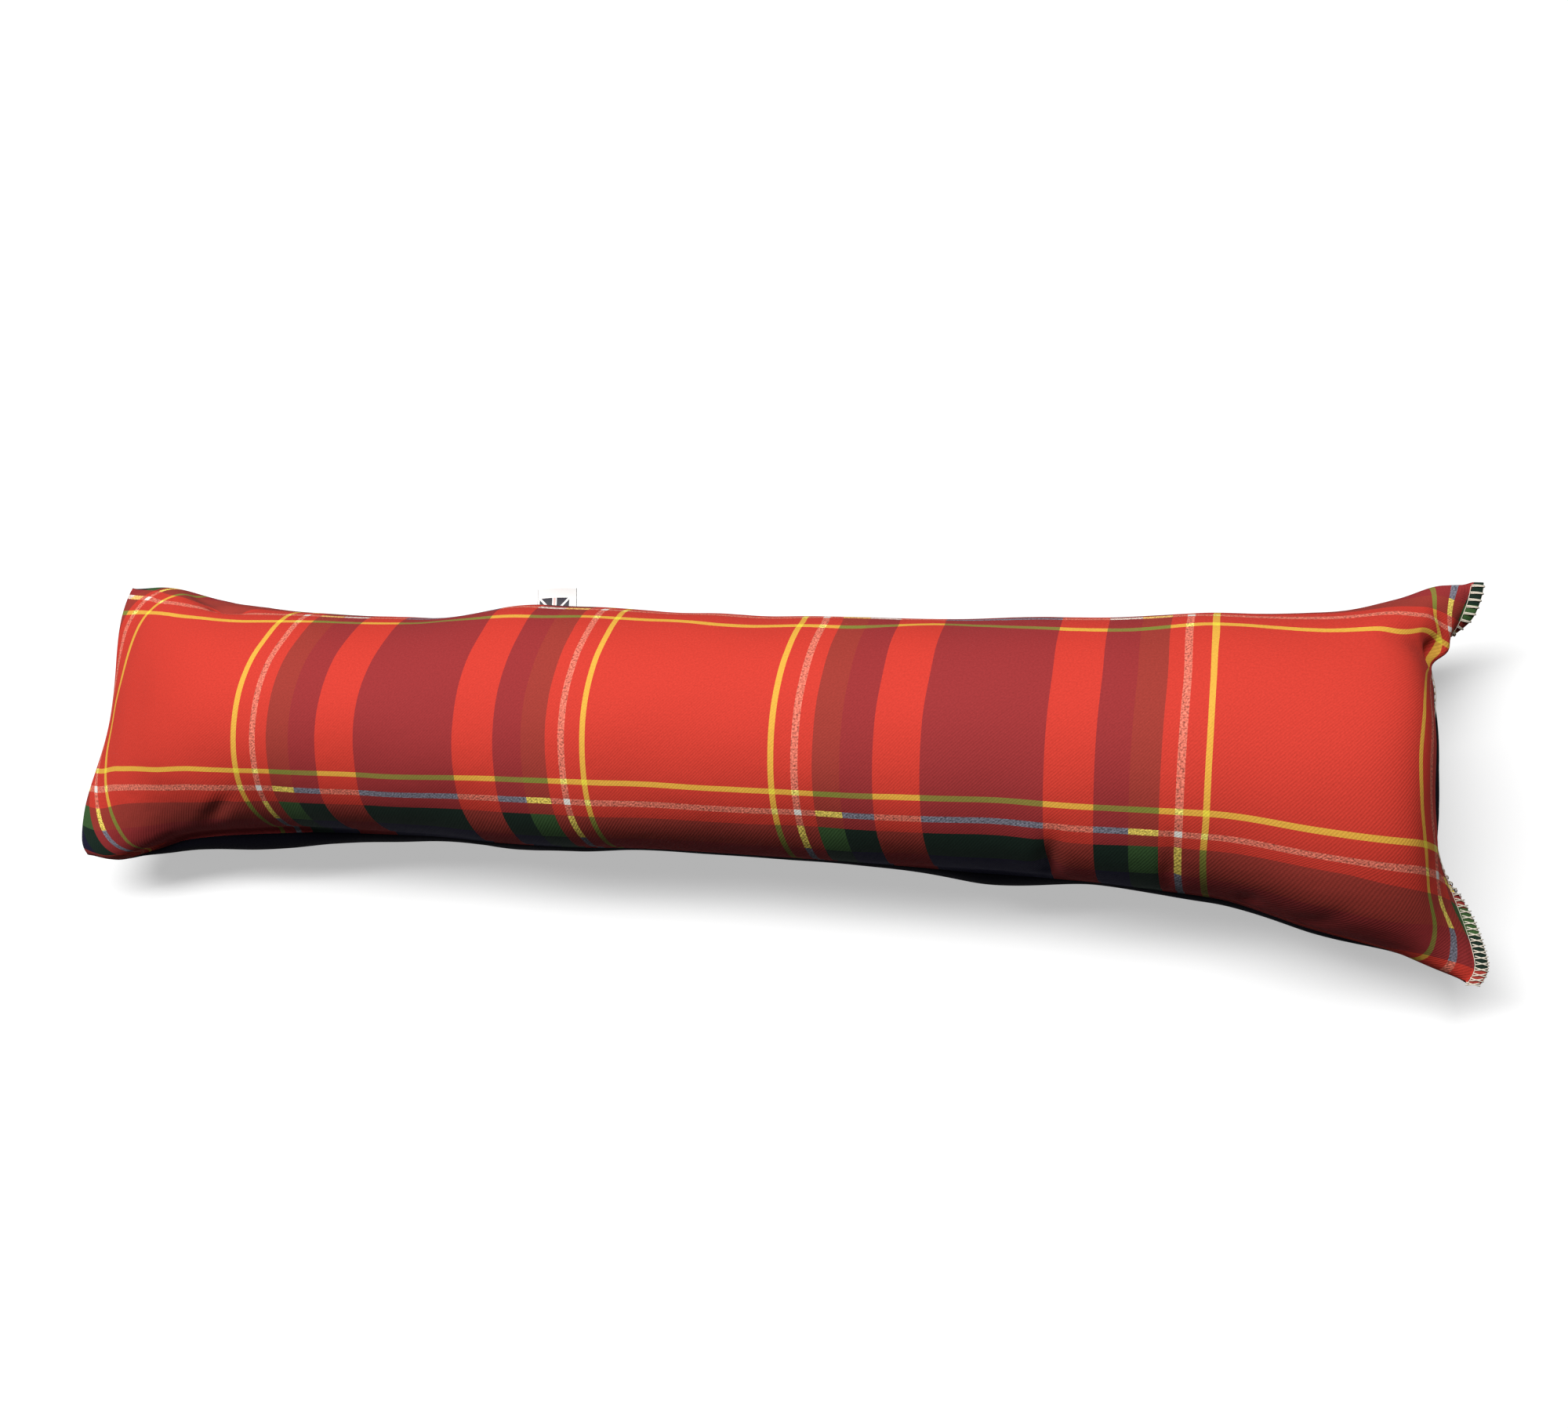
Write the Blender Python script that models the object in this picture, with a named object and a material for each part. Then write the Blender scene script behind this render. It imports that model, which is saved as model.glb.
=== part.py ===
"""Draught excluder: a long stuffed cloth tube that lies along the foot of a door.

Two long panels, checked cloth in front and plain dark cloth behind, are sewn together
round three sides, turned, filled with fibre and closed across the right end, where the raw
edges stay outside as a narrow overlocked fin. The tube lies on its back: the checked front
faces up, the dark back rests on the surface. Metres, +X along the length, +Z up.
"""

import math
from collections import namedtuple
from functools import lru_cache

import bmesh
import bpy
import numpy as np
from mathutils import Matrix, Vector

# Cut panels, finished size, seam to seam
PANEL_LENGTH = 0.900
PANEL_WIDTH = 0.234
CLOTH = 0.0015
GAP = 0.0003
SEAM_THICKNESS = 0.003
SEAM_BORDER = 0.002

# Overlocked fin across the closing end
FIN_WIDTH = 0.0065
FIN_DROOP = math.radians(58)

# Finishes
CHECK_RED = (0.66, 0.06, 0.04)
DARK_CLOTH = (0.006, 0.005, 0.012)
RIBBON_WHITE = (0.85, 0.84, 0.82)
CLOTH_ROUGHNESS = 0.85
RIBBON_ROUGHNESS = 0.6

# Steps of the cloth grid, how far they crowd towards the side seams, the points a curve is
# measured with, how far inside the seams a normal is read, and how the meshes are joined
BODY_STEP = 0.022
END_STEP = 0.0075
END_ZONE = 0.115
ACROSS_STEPS = 18
CROWDING = 0.4
CURVE_POINTS = 91
NORMAL_INSIDE = 0.004
MERGE = 1e-6
SHARP_ABOVE = math.radians(50)

# The filled form, a row for each place along the cloth from the left seam: the two side
# seams' distance from the middle line, their heights, how far the front crowns above them,
# how far the back hangs below them, and how far the back swells past the near seam
Row = namedtuple("Row", "at near_y far_y near_z far_z crown belly swell")
ROWS = [
    Row(0.000, -0.095, 0.093, 0.052, 0.056, 0.056, 0.046, 0.000),
    Row(0.020, -0.098, 0.094, 0.051, 0.056, 0.059, 0.048, 0.001),
    Row(0.050, -0.091, 0.090, 0.056, 0.060, 0.067, 0.058, 0.006),
    Row(0.085, -0.079, 0.081, 0.063, 0.064, 0.075, 0.068, 0.012),
    Row(0.125, -0.074, 0.074, 0.067, 0.066, 0.078, 0.071, 0.014),
    Row(0.180, -0.070, 0.071, 0.069, 0.067, 0.079, 0.071, 0.011),
    Row(0.250, -0.070, 0.069, 0.069, 0.067, 0.079, 0.071, 0.006),
    Row(0.330, -0.072, 0.080, 0.068, 0.067, 0.079, 0.071, 0.004),
    Row(0.430, -0.070, 0.076, 0.067, 0.067, 0.079, 0.071, 0.001),
    Row(0.550, -0.070, 0.076, 0.067, 0.067, 0.079, 0.071, 0.002),
    Row(0.620, -0.070, 0.078, 0.069, 0.067, 0.079, 0.071, 0.008),
    Row(0.680, -0.073, 0.080, 0.067, 0.067, 0.079, 0.071, 0.002),
    Row(0.740, -0.076, 0.083, 0.066, 0.067, 0.079, 0.071, 0.003),
    Row(0.800, -0.089, 0.085, 0.062, 0.068, 0.078, 0.068, 0.005),
    Row(0.850, -0.098, 0.095, 0.055, 0.069, 0.076, 0.062, 0.003),
    Row(0.880, -0.105, 0.105, 0.049, 0.070, 0.074, 0.056, 0.000),
    Row(0.900, -0.109, 0.108, 0.045, 0.070, 0.072, 0.050, 0.000),
]

# The swell's width from the near seam, as a share of half the panel's width
SWELL_WIDTH = 0.333

# How each end closes: the cloth length it takes, how far along X that carries the middle,
# the near corner and the far corner, how blunt the front and the back are, how far the end
# seam rises in its middle, how sharply its two corners stand out as ears, and a notch that
# pulls the seam in under an ear: its place across, its half width as a share and its depth
End = namedtuple(
    "End",
    "run middle near far front_power back_power lift near_ear far_ear notch_at notch_width notch",
)
LEFT_END = End(0.152, 0.139, 0.161, 0.155, 1.6, 1.9, 0.024, 2.0, 2.0, 0.0, 0.1, 0.0)
RIGHT_END = End(0.150, 0.104, 0.131, 0.124, 3.4, 1.7, 0.004, 3.0, 6.5, 0.54, 0.10, 0.010)

# Main folds pressed into the front: place along the cloth and across it (-1 near seam, 1 far
# seam), the fold's heading from the length, half length, half width and depth; they fade
# out this close to the seams
Fold = namedtuple("Fold", "at across heading length width depth")
FOLDS = [
    Fold(0.880, 0.66, math.radians(150), 0.016, 0.006, 0.009),
    Fold(0.078, 0.86, math.radians(-25), 0.030, 0.008, 0.007),
    Fold(0.655, -0.80, math.radians(80), 0.026, 0.006, 0.005),
    Fold(0.120, -0.72, math.radians(70), 0.022, 0.008, 0.004),
    Fold(0.800, -0.90, math.radians(60), 0.020, 0.008, 0.003),
]
FOLD_FADE = 0.012

# Label ribbon folded double and caught in the far seam
LABEL_AT = 0.326
LABEL_WIDTH = 0.027
LABEL_STANDS_OUT = 0.013
LABEL_THICKNESS = 0.0012
LABEL_RISE = 0.003
LABEL_GAP = 0.0006
LABEL_STEPS = 6


def clear_scene():
    for old in list(bpy.data.objects):
        bpy.data.objects.remove(old, do_unlink=True)


def collection(name):
    group = bpy.data.collections.new(name)
    bpy.context.scene.collection.children.link(group)
    return group


def cloth_material(name, colour, roughness):
    material = bpy.data.materials.new(name)
    material.use_nodes = True
    shader = material.node_tree.nodes["Principled BSDF"]
    shader.inputs["Base Color"].default_value = (*colour, 1.0)
    shader.inputs["Roughness"].default_value = roughness
    shader.inputs["Metallic"].default_value = 0.0
    return material


@lru_cache(maxsize=None)
def slopes(column):
    """Slopes at the rows for a smooth curve that never overshoots them."""
    at = [row.at for row in ROWS]
    value = [getattr(row, column) for row in ROWS]
    rise = [(value[i + 1] - value[i]) / (at[i + 1] - at[i]) for i in range(len(at) - 1)]
    result = [rise[0]]
    for before, after in zip(rise, rise[1:]):
        result.append(0.0 if before * after <= 0 else 2 * before * after / (before + after))
    result.append(rise[-1])
    return result


def row_value(column, u):
    """Value of one column of ROWS at the cloth length u."""
    slope = slopes(column)
    index = max(i for i in range(len(ROWS) - 1) if ROWS[i].at <= u or i == 0)
    first, second = ROWS[index], ROWS[index + 1]
    span = second.at - first.at
    t = (u - first.at) / span
    start, stop = getattr(first, column), getattr(second, column)
    return (
        (2 * t**3 - 3 * t**2 + 1) * start
        + (t**3 - 2 * t**2 + t) * span * slope[index]
        + (3 * t**2 - 2 * t**3) * stop
        + (t**3 - t**2) * span * slope[index + 1]
    )


def equal_arc(across, up, share):
    """Values of two curves at the given shares of their common arc length."""
    steps = np.hypot(np.diff(across), np.diff(up))
    run = np.concatenate([[0.0], np.cumsum(steps)])
    return np.interp(share * run[-1], run, across), np.interp(share * run[-1], run, up)


@lru_cache(maxsize=None)
def closing(reach, height, power, share):
    """Reach and remaining height, both from 0 to 1, of the rounded closing of an end."""
    angle = np.linspace(0, math.pi / 2, CURVE_POINTS)
    out = reach * np.sin(angle) ** (2 / power)
    up = height * np.cos(angle) ** (2 / power)
    at_out, at_up = equal_arc(out, up, share)
    return at_out / reach, at_up / height


@lru_cache(maxsize=None)
def section(u, side):
    """What the cross section at the cloth length u needs; side is 1 in front, -1 behind."""
    value = {name: row_value(name, u) for name in Row._fields[1:]}
    end = LEFT_END if u < PANEL_LENGTH / 2 else RIGHT_END
    share = max(0.0, 1 - min(u, PANEL_LENGTH - u) / end.run)
    along, height = 0.0, value["crown" if side > 0 else "belly"]
    if share > 0:
        along, drop = closing(end.middle, value["crown"], end.front_power, share)
        if side < 0:
            drop = closing(end.middle, value["belly"], end.back_power, share)[1]
        height = height * drop
    half = (value["far_y"] - value["near_y"]) / 2
    angle = np.linspace(-math.pi / 2, math.pi / 2, CURVE_POINTS)
    profile = (half * np.sin(angle), max(height, 1e-5) * np.cos(angle))
    return value, end, share, along, profile


def surface(u, q, side):
    """Outer face of the cloth at the length u and the share q across, -1 near, 1 far."""
    value, end, share, along, (out, up) = section(u, side)
    middle_y = (value["near_y"] + value["far_y"]) / 2
    half = (value["far_y"] - value["near_y"]) / 2
    y, height = equal_arc(out, up, (q + 1) / 2)
    towards_middle = math.cos(q * math.pi / 2)
    seam_z = value["near_z"] + (value["far_z"] - value["near_z"]) * (y / half + 1) / 2
    seam_z += end.lift * share**2 * towards_middle
    z = seam_z + side * (SEAM_THICKNESS / 2 + height)
    if side < 0 and q < 0:
        y -= value["swell"] * math.sin(math.pi * min(1.0, (1 + q) / SWELL_WIDTH))
    x = u - PANEL_LENGTH / 2
    if share > 0:
        corner, ear = (end.near, end.near_ear) if q < 0 else (end.far, end.far_ear)
        reach = end.middle + (corner - end.middle) * abs(math.sin(q * math.pi / 2)) ** ear
        reach -= end.notch * math.exp(-(((q - end.notch_at) / end.notch_width) ** 2))
        travel = towards_middle * along + (1 - towards_middle) * share
        direction = -1 if u < PANEL_LENGTH / 2 else 1
        x = direction * (PANEL_LENGTH / 2 - end.run + reach * travel)
    return Vector((x, middle_y + y, max(z, 0.0)))


def outward(u, q, side):
    """Unit normal of the cloth, read a little inside the seams, where it is well defined."""
    step = NORMAL_INSIDE / 2
    margin = NORMAL_INSIDE / (PANEL_WIDTH / 2)
    u = min(max(u, NORMAL_INSIDE), PANEL_LENGTH - NORMAL_INSIDE)
    q = min(max(q, margin - 1), 1 - margin)
    along = surface(u + step, q, side) - surface(u - step, q, side)
    across = surface(u, q + margin / 2, side) - surface(u, q - margin / 2, side)
    return side * along.cross(across).normalized()


def fold_depth(u, q):
    """How deep the main folds press in at one place of the front."""
    depth = 0.0
    for fold in FOLDS:
        along = u - fold.at
        across = (q - fold.across) * PANEL_WIDTH / 2
        lengthwise = along * math.cos(fold.heading) + across * math.sin(fold.heading)
        sideways = across * math.cos(fold.heading) - along * math.sin(fold.heading)
        depth += fold.depth * math.exp(-((lengthwise / fold.length) ** 2 + (sideways / fold.width) ** 2))
    return depth


def front_face(u, q):
    """Front cloth with its folds, which fade out at the seams."""
    inside = min(u, PANEL_LENGTH - u, (1 - abs(q)) * PANEL_WIDTH / 2)
    fade = min(1.0, inside / FOLD_FADE)
    return surface(u, q, 1) - outward(u, q, 1) * fold_depth(u, q) * fade


def back_face(u, q, depth):
    """Back cloth's outer face, or a face at some depth inside it."""
    return surface(u, q, -1) - outward(u, q, -1) * depth


def length_steps(inset):
    """Places along the cloth, close together at the ends and even between."""
    ends = np.linspace(inset, END_ZONE, round(END_ZONE / END_STEP))
    count = round((PANEL_LENGTH - 2 * END_ZONE) / BODY_STEP)
    body = np.linspace(END_ZONE, PANEL_LENGTH - END_ZONE, count)
    return [*ends[:-1], *body, *(PANEL_LENGTH - ends[-2::-1])]


def width_steps(inset):
    """Places across the cloth, closer together towards the seams."""
    edge = 1 - inset / (PANEL_WIDTH / 2)
    angles = np.linspace(-1, 1, ACROSS_STEPS + 1)
    return [edge * ((1 - CROWDING) * a + CROWDING * math.sin(a * math.pi / 2)) for a in angles]


def rim(grid):
    """The vertices round the edge of a grid, in order."""
    far_side = [row[-1] for row in grid[1:-1]]
    near_side = [row[0] for row in grid[-2:0:-1]]
    return [*grid[0], *far_side, *grid[-1][::-1], *near_side]


def closed_sheet(upper, lower):
    """One closed body between two grids of points with the same rows and columns."""
    mesh = bmesh.new()
    rims = []
    for points in (upper, lower):
        grid = [[mesh.verts.new(point) for point in row] for row in points]
        for row, following in zip(grid, grid[1:]):
            for a, b, c, d in zip(row, row[1:], following[1:], following):
                mesh.faces.new((a, b, c, d))
        rims.append(rim(grid))
    above, below = rims
    for i in range(len(above)):
        mesh.faces.new((above[i - 1], above[i], below[i], below[i - 1]))
    bmesh.ops.remove_doubles(mesh, verts=mesh.verts, dist=MERGE)
    bmesh.ops.recalc_face_normals(mesh, faces=mesh.faces)
    return mesh


def add_piece(name, mesh, group, material):
    bmesh.ops.triangulate(mesh, faces=mesh.faces)
    data = bpy.data.meshes.new(name)
    mesh.to_mesh(data)
    mesh.free()
    data.materials.append(material)
    data.shade_smooth()
    data.set_sharp_from_angle(angle=SHARP_ABOVE)
    item = bpy.data.objects.new(name, data)
    group.objects.link(item)
    return item


def fin_point(q, side):
    """Free edge of the fin, which turns down in its middle and straight out at the ears."""
    root = (surface(PANEL_LENGTH, q, 1) + surface(PANEL_LENGTH, q, -1)) / 2
    droop = FIN_DROOP * math.sqrt(max(0.0, math.cos(q * math.pi / 2)))
    away = Vector((math.cos(droop), 0, -math.sin(droop)))
    up = Vector((math.sin(droop), 0, math.cos(droop)))
    return root + away * FIN_WIDTH + up * side * SEAM_THICKNESS / 2


def filled_tube(group):
    """The filled front: its crown, ears and folds above, the seam all round, the fin across
    the right end, and behind it a shallow rebate where the dark back panel lies."""
    steps = length_steps(SEAM_BORDER)
    shares = width_steps(SEAM_BORDER)
    along = [(0.0, False), (steps[0], False), *((u, True) for u in steps)]
    along += [(steps[-1], False), (PANEL_LENGTH, False)]
    across = [(-1.0, False), (shares[0], False), *((q, True) for q in shares)]
    across += [(shares[-1], False), (1.0, False)]
    upper = [[front_face(u, q) for q, _ in across] for u, _ in along]
    lower = [
        [back_face(u, q, CLOTH + GAP if inside_u and inside_q else 0.0) for q, inside_q in across]
        for u, inside_u in along
    ]
    upper.append([fin_point(q, 1) for q, _ in across])
    lower.append([fin_point(q, -1) for q, _ in across])
    red = cloth_material("checked_cloth", CHECK_RED, CLOTH_ROUGHNESS)
    return add_piece("filled_tube", closed_sheet(upper, lower), group, red)


def back_panel(group):
    """Plain dark panel under the tube, flat where it rests."""
    steps = length_steps(SEAM_BORDER + GAP)
    shares = width_steps(SEAM_BORDER + GAP)
    inner = [[back_face(u, q, CLOTH) for q in shares] for u in steps]
    outer = [[back_face(u, q, 0.0) for q in shares] for u in steps]
    dark = cloth_material("plain_dark_cloth", DARK_CLOTH, CLOTH_ROUGHNESS)
    return add_piece("back_panel", closed_sheet(inner, outer), group, dark)


def label_tab(group):
    """Ribbon label, folded double, standing out of the far seam and rising a little."""
    faces = {1: [], -1: []}
    for step in range(LABEL_STEPS + 1):
        share = step / LABEL_STEPS
        for side, rows in faces.items():
            row = []
            for place in np.linspace(-0.5, 0.5, LABEL_STEPS + 1):
                u = LABEL_AT + place * LABEL_WIDTH
                seam = (surface(u, 1.0, 1) + surface(u, 1.0, -1)) / 2
                out = LABEL_GAP + share * LABEL_STANDS_OUT
                rise = LABEL_RISE * share**2 + side * LABEL_THICKNESS / 2
                row.append(seam + Vector((0, out, rise)))
            rows.append(row)
    ribbon = cloth_material("label_ribbon", RIBBON_WHITE, RIBBON_ROUGHNESS)
    return add_piece("label_tab", closed_sheet(faces[1], faces[-1]), group, ribbon)


def stand_on_origin(pieces):
    """Move the pieces together so that the middle of their underside is the origin."""
    corners = [vertex.co for piece in pieces for vertex in piece.data.vertices]
    low = Vector(min(corner[axis] for corner in corners) for axis in range(3))
    high = Vector(max(corner[axis] for corner in corners) for axis in range(3))
    base = Vector(((low.x + high.x) / 2, (low.y + high.y) / 2, low.z))
    for piece in pieces:
        piece.data.transform(Matrix.Translation(-base))


def build():
    clear_scene()
    group = collection("draught_excluder")
    stand_on_origin([filled_tube(group), back_panel(group), label_tab(group)])


build()
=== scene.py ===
"""Looks of a draught excluder: a stuffed tube of red tartan with a plain dark back, sewn round
three sides, turned, and closed across the right end by an overlocked seam. Metres, +Z up."""

import math
from collections import namedtuple

import bmesh
import bpy
import numpy as np
from mathutils import Matrix, Vector, noise


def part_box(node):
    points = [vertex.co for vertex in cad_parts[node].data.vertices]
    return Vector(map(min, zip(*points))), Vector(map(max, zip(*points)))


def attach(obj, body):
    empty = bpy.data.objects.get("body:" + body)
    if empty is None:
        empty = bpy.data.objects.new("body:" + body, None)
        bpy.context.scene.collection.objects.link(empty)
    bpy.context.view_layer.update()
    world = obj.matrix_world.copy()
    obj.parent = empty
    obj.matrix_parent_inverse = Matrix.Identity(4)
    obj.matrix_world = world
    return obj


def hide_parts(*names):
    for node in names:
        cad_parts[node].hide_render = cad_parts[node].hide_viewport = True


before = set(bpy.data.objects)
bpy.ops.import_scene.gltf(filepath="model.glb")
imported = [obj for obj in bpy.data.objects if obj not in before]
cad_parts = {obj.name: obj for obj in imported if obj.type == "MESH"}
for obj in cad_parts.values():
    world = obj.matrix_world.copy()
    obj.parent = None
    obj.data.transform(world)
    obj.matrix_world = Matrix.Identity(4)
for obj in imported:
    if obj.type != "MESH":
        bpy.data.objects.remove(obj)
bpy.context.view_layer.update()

# Filled tube
# The tartan front panel on its fibre filling, the clean seam round three sides and the narrow
# fin that the overlock closes. It is laid out as the cut cloth, blown up by the cloth
# simulation with its seams held, and then creased where the real one is.

PANEL_LENGTH = 0.900
PANEL_WIDTH = 0.234
SEAM_THICKNESS = 0.003
FIN_WIDTH = 0.0065
ROWS_ALONG = 216
COLUMNS = 57
SWELL_WIDTH = 0.333

# The form at places along the cloth from the left seam: the side seams' distance from the
# middle line, their heights, the front's crown above them, the back's hang below them and
# how far the back swells past the near seam, within a third of the half width from it
Row = namedtuple("Row", "at near_y far_y near_z far_z crown belly swell")
FORM = [
    Row(0.000, -0.098, 0.094, 0.050, 0.056, 0.056, 0.046, 0.000),
    Row(0.020, -0.100, 0.094, 0.051, 0.056, 0.059, 0.048, 0.001),
    Row(0.050, -0.091, 0.090, 0.056, 0.060, 0.067, 0.058, 0.006),
    Row(0.085, -0.079, 0.081, 0.063, 0.064, 0.075, 0.068, 0.012),
    Row(0.125, -0.074, 0.074, 0.067, 0.066, 0.078, 0.071, 0.014),
    Row(0.180, -0.070, 0.071, 0.069, 0.067, 0.079, 0.071, 0.011),
    Row(0.250, -0.070, 0.069, 0.069, 0.067, 0.079, 0.071, 0.006),
    Row(0.330, -0.072, 0.080, 0.068, 0.067, 0.079, 0.071, 0.004),
    Row(0.430, -0.070, 0.076, 0.067, 0.067, 0.079, 0.071, 0.001),
    Row(0.550, -0.070, 0.076, 0.067, 0.067, 0.079, 0.071, 0.002),
    Row(0.620, -0.070, 0.078, 0.069, 0.067, 0.079, 0.071, 0.008),
    Row(0.680, -0.073, 0.080, 0.067, 0.067, 0.079, 0.071, 0.002),
    Row(0.740, -0.076, 0.083, 0.066, 0.067, 0.079, 0.071, 0.003),
    Row(0.800, -0.089, 0.085, 0.062, 0.068, 0.078, 0.068, 0.005),
    Row(0.850, -0.098, 0.095, 0.055, 0.069, 0.076, 0.062, 0.003),
    Row(0.880, -0.107, 0.105, 0.049, 0.070, 0.074, 0.056, 0.000),
    Row(0.900, -0.113, 0.108, 0.045, 0.070, 0.072, 0.050, 0.000),
]

# How each end closes: cloth length, reach of the middle and of the two corners, bluntness of
# front and back, lift of the seam's middle, sharpness of the ears, the far ear's notch, and
# how far the near ear's tip is rounded back
End = namedtuple(
    "End",
    "run middle near far front_power back_power lift near_ear far_ear notch_at notch_width notch rounding",
)
LEFT_END = End(0.152, 0.139, 0.165, 0.159, 1.6, 1.9, 0.024, 2.0, 2.0, 0.0, 0.1, 0.0, 0.005)
RIGHT_END = End(0.150, 0.1062, 0.133, 0.124, 5.0, 1.7, 0.004, 3.0, 6.5, 0.56, 0.09, 0.005, 0.006)


def eased(at, value, place):
    """A smooth curve through the values that never overshoots them."""
    at, value = np.asarray(at, float), np.asarray(value, float)
    rise = np.diff(value) / np.diff(at)
    slope = np.zeros(len(at))
    slope[0], slope[-1] = rise[0], rise[-1]
    for i in range(1, len(at) - 1):
        if rise[i - 1] * rise[i] > 0:
            slope[i] = 2 * rise[i - 1] * rise[i] / (rise[i - 1] + rise[i])
    i = np.clip(np.searchsorted(at, place, side="right") - 1, 0, len(at) - 2)
    span = at[i + 1] - at[i]
    t = (place - at[i]) / span
    start = (2 * t**3 - 3 * t**2 + 1) * value[i] + (t**3 - 2 * t**2 + t) * span * slope[i]
    stop = (3 * t**2 - 2 * t**3) * value[i + 1] + (t**3 - t**2) * span * slope[i + 1]
    return start + stop


def form_value(column, u):
    """One column of the form at the cloth length u."""
    return eased([row.at for row in FORM], [getattr(row, column) for row in FORM], u)


def by_arc(across, up, share):
    """The curve (across, up) at shares of its arc length."""
    run = np.concatenate([[0.0], np.cumsum(np.hypot(np.diff(across), np.diff(up)))])
    return np.interp(share * run[-1], run, across), np.interp(share * run[-1], run, up)


def panel_row(u, q, side):
    """Points across one panel at the length u; q runs -1 near to 1 far, side is 1 in front."""
    value = {name: form_value(name, u) for name in Row._fields[1:]}
    end = LEFT_END if u < PANEL_LENGTH / 2 else RIGHT_END
    share = max(0.0, 1 - min(u, PANEL_LENGTH - u) / end.run)
    height, along = value["crown" if side > 0 else "belly"], 0.0
    if share > 0:
        angle = np.linspace(0, math.pi / 2, 91)
        front = (np.sin(angle) ** (2 / end.front_power), np.cos(angle) ** (2 / end.front_power))
        back = (np.sin(angle) ** (2 / end.back_power), np.cos(angle) ** (2 / end.back_power))
        out, drop = by_arc(end.middle * front[0], value["crown"] * front[1], share)
        along, drop = out / end.middle, drop / value["crown"]
        if side < 0:
            drop = by_arc(end.middle * back[0], value["belly"] * back[1], share)[1] / value["belly"]
        height = height * drop
    half = (value["far_y"] - value["near_y"]) / 2
    angle = np.linspace(-math.pi / 2, math.pi / 2, 91)
    y, rise = by_arc(half * np.sin(angle), max(height, 1e-5) * np.cos(angle), (q + 1) / 2)
    towards_middle = np.cos(q * math.pi / 2)
    z = value["near_z"] + (value["far_z"] - value["near_z"]) * (y / half + 1) / 2
    z = z + end.lift * share**2 * towards_middle + side * (SEAM_THICKNESS / 2 + rise)
    if side < 0:
        y = y - value["swell"] * np.sin(math.pi * np.minimum(1.0, (1 + q) / SWELL_WIDTH)) * (q < 0)
    x = np.full(len(q), u - PANEL_LENGTH / 2)
    if share > 0:
        corner = np.where(q < 0, end.near, end.far)
        ear = np.where(q < 0, end.near_ear, end.far_ear)
        reach = end.middle + (corner - end.middle) * np.abs(np.sin(q * math.pi / 2)) ** ear
        reach = reach - end.notch * np.exp(-(((q - end.notch_at) / end.notch_width) ** 2))
        reach = reach - end.rounding * np.clip((-q - 0.88) / 0.12, 0, 1) ** 2
        travel = towards_middle * along + (1 - towards_middle) * share
        x = (-1 if u < PANEL_LENGTH / 2 else 1) * (PANEL_LENGTH / 2 - end.run + reach * travel)
    centre = (value["far_y"] + value["near_y"]) / 2
    return np.stack([x, centre + y, np.maximum(z, 0.0)], axis=1)


cloth_u = np.linspace(0, PANEL_LENGTH, ROWS_ALONG)
cloth_q = np.linspace(-1, 1, COLUMNS)
front = np.array([panel_row(u, cloth_q, 1) for u in cloth_u])
back = np.array([panel_row(u, cloth_q, -1) for u in cloth_u])

# The two faces meet at the seam's middle, drawn in a little, and everything moves to where
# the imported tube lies
seam = (front + back) / 2
for grid in (front, back):
    grid[0], grid[-1] = seam[0], seam[-1]
    grid[:, 0], grid[:, -1] = seam[:, 0], seam[:, -1]
low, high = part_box("filled_tube")
reach_right = panel_row(PANEL_LENGTH, cloth_q, 1)[:, 0].max() + FIN_WIDTH
shift = np.array([
    (low.x + high.x) / 2 - (front[..., 0].min() + reach_right) / 2,
    (low.y + high.y) / 2 - (front[..., 1].min() + front[..., 1].max()) / 2,
    0.0,
])
front += shift
back += shift


# The panels are cut a little larger than the form they fill, and no point moves past the cap
SPARE_CLOTH = 1.035
MOVE_CAP = 0.008


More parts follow.
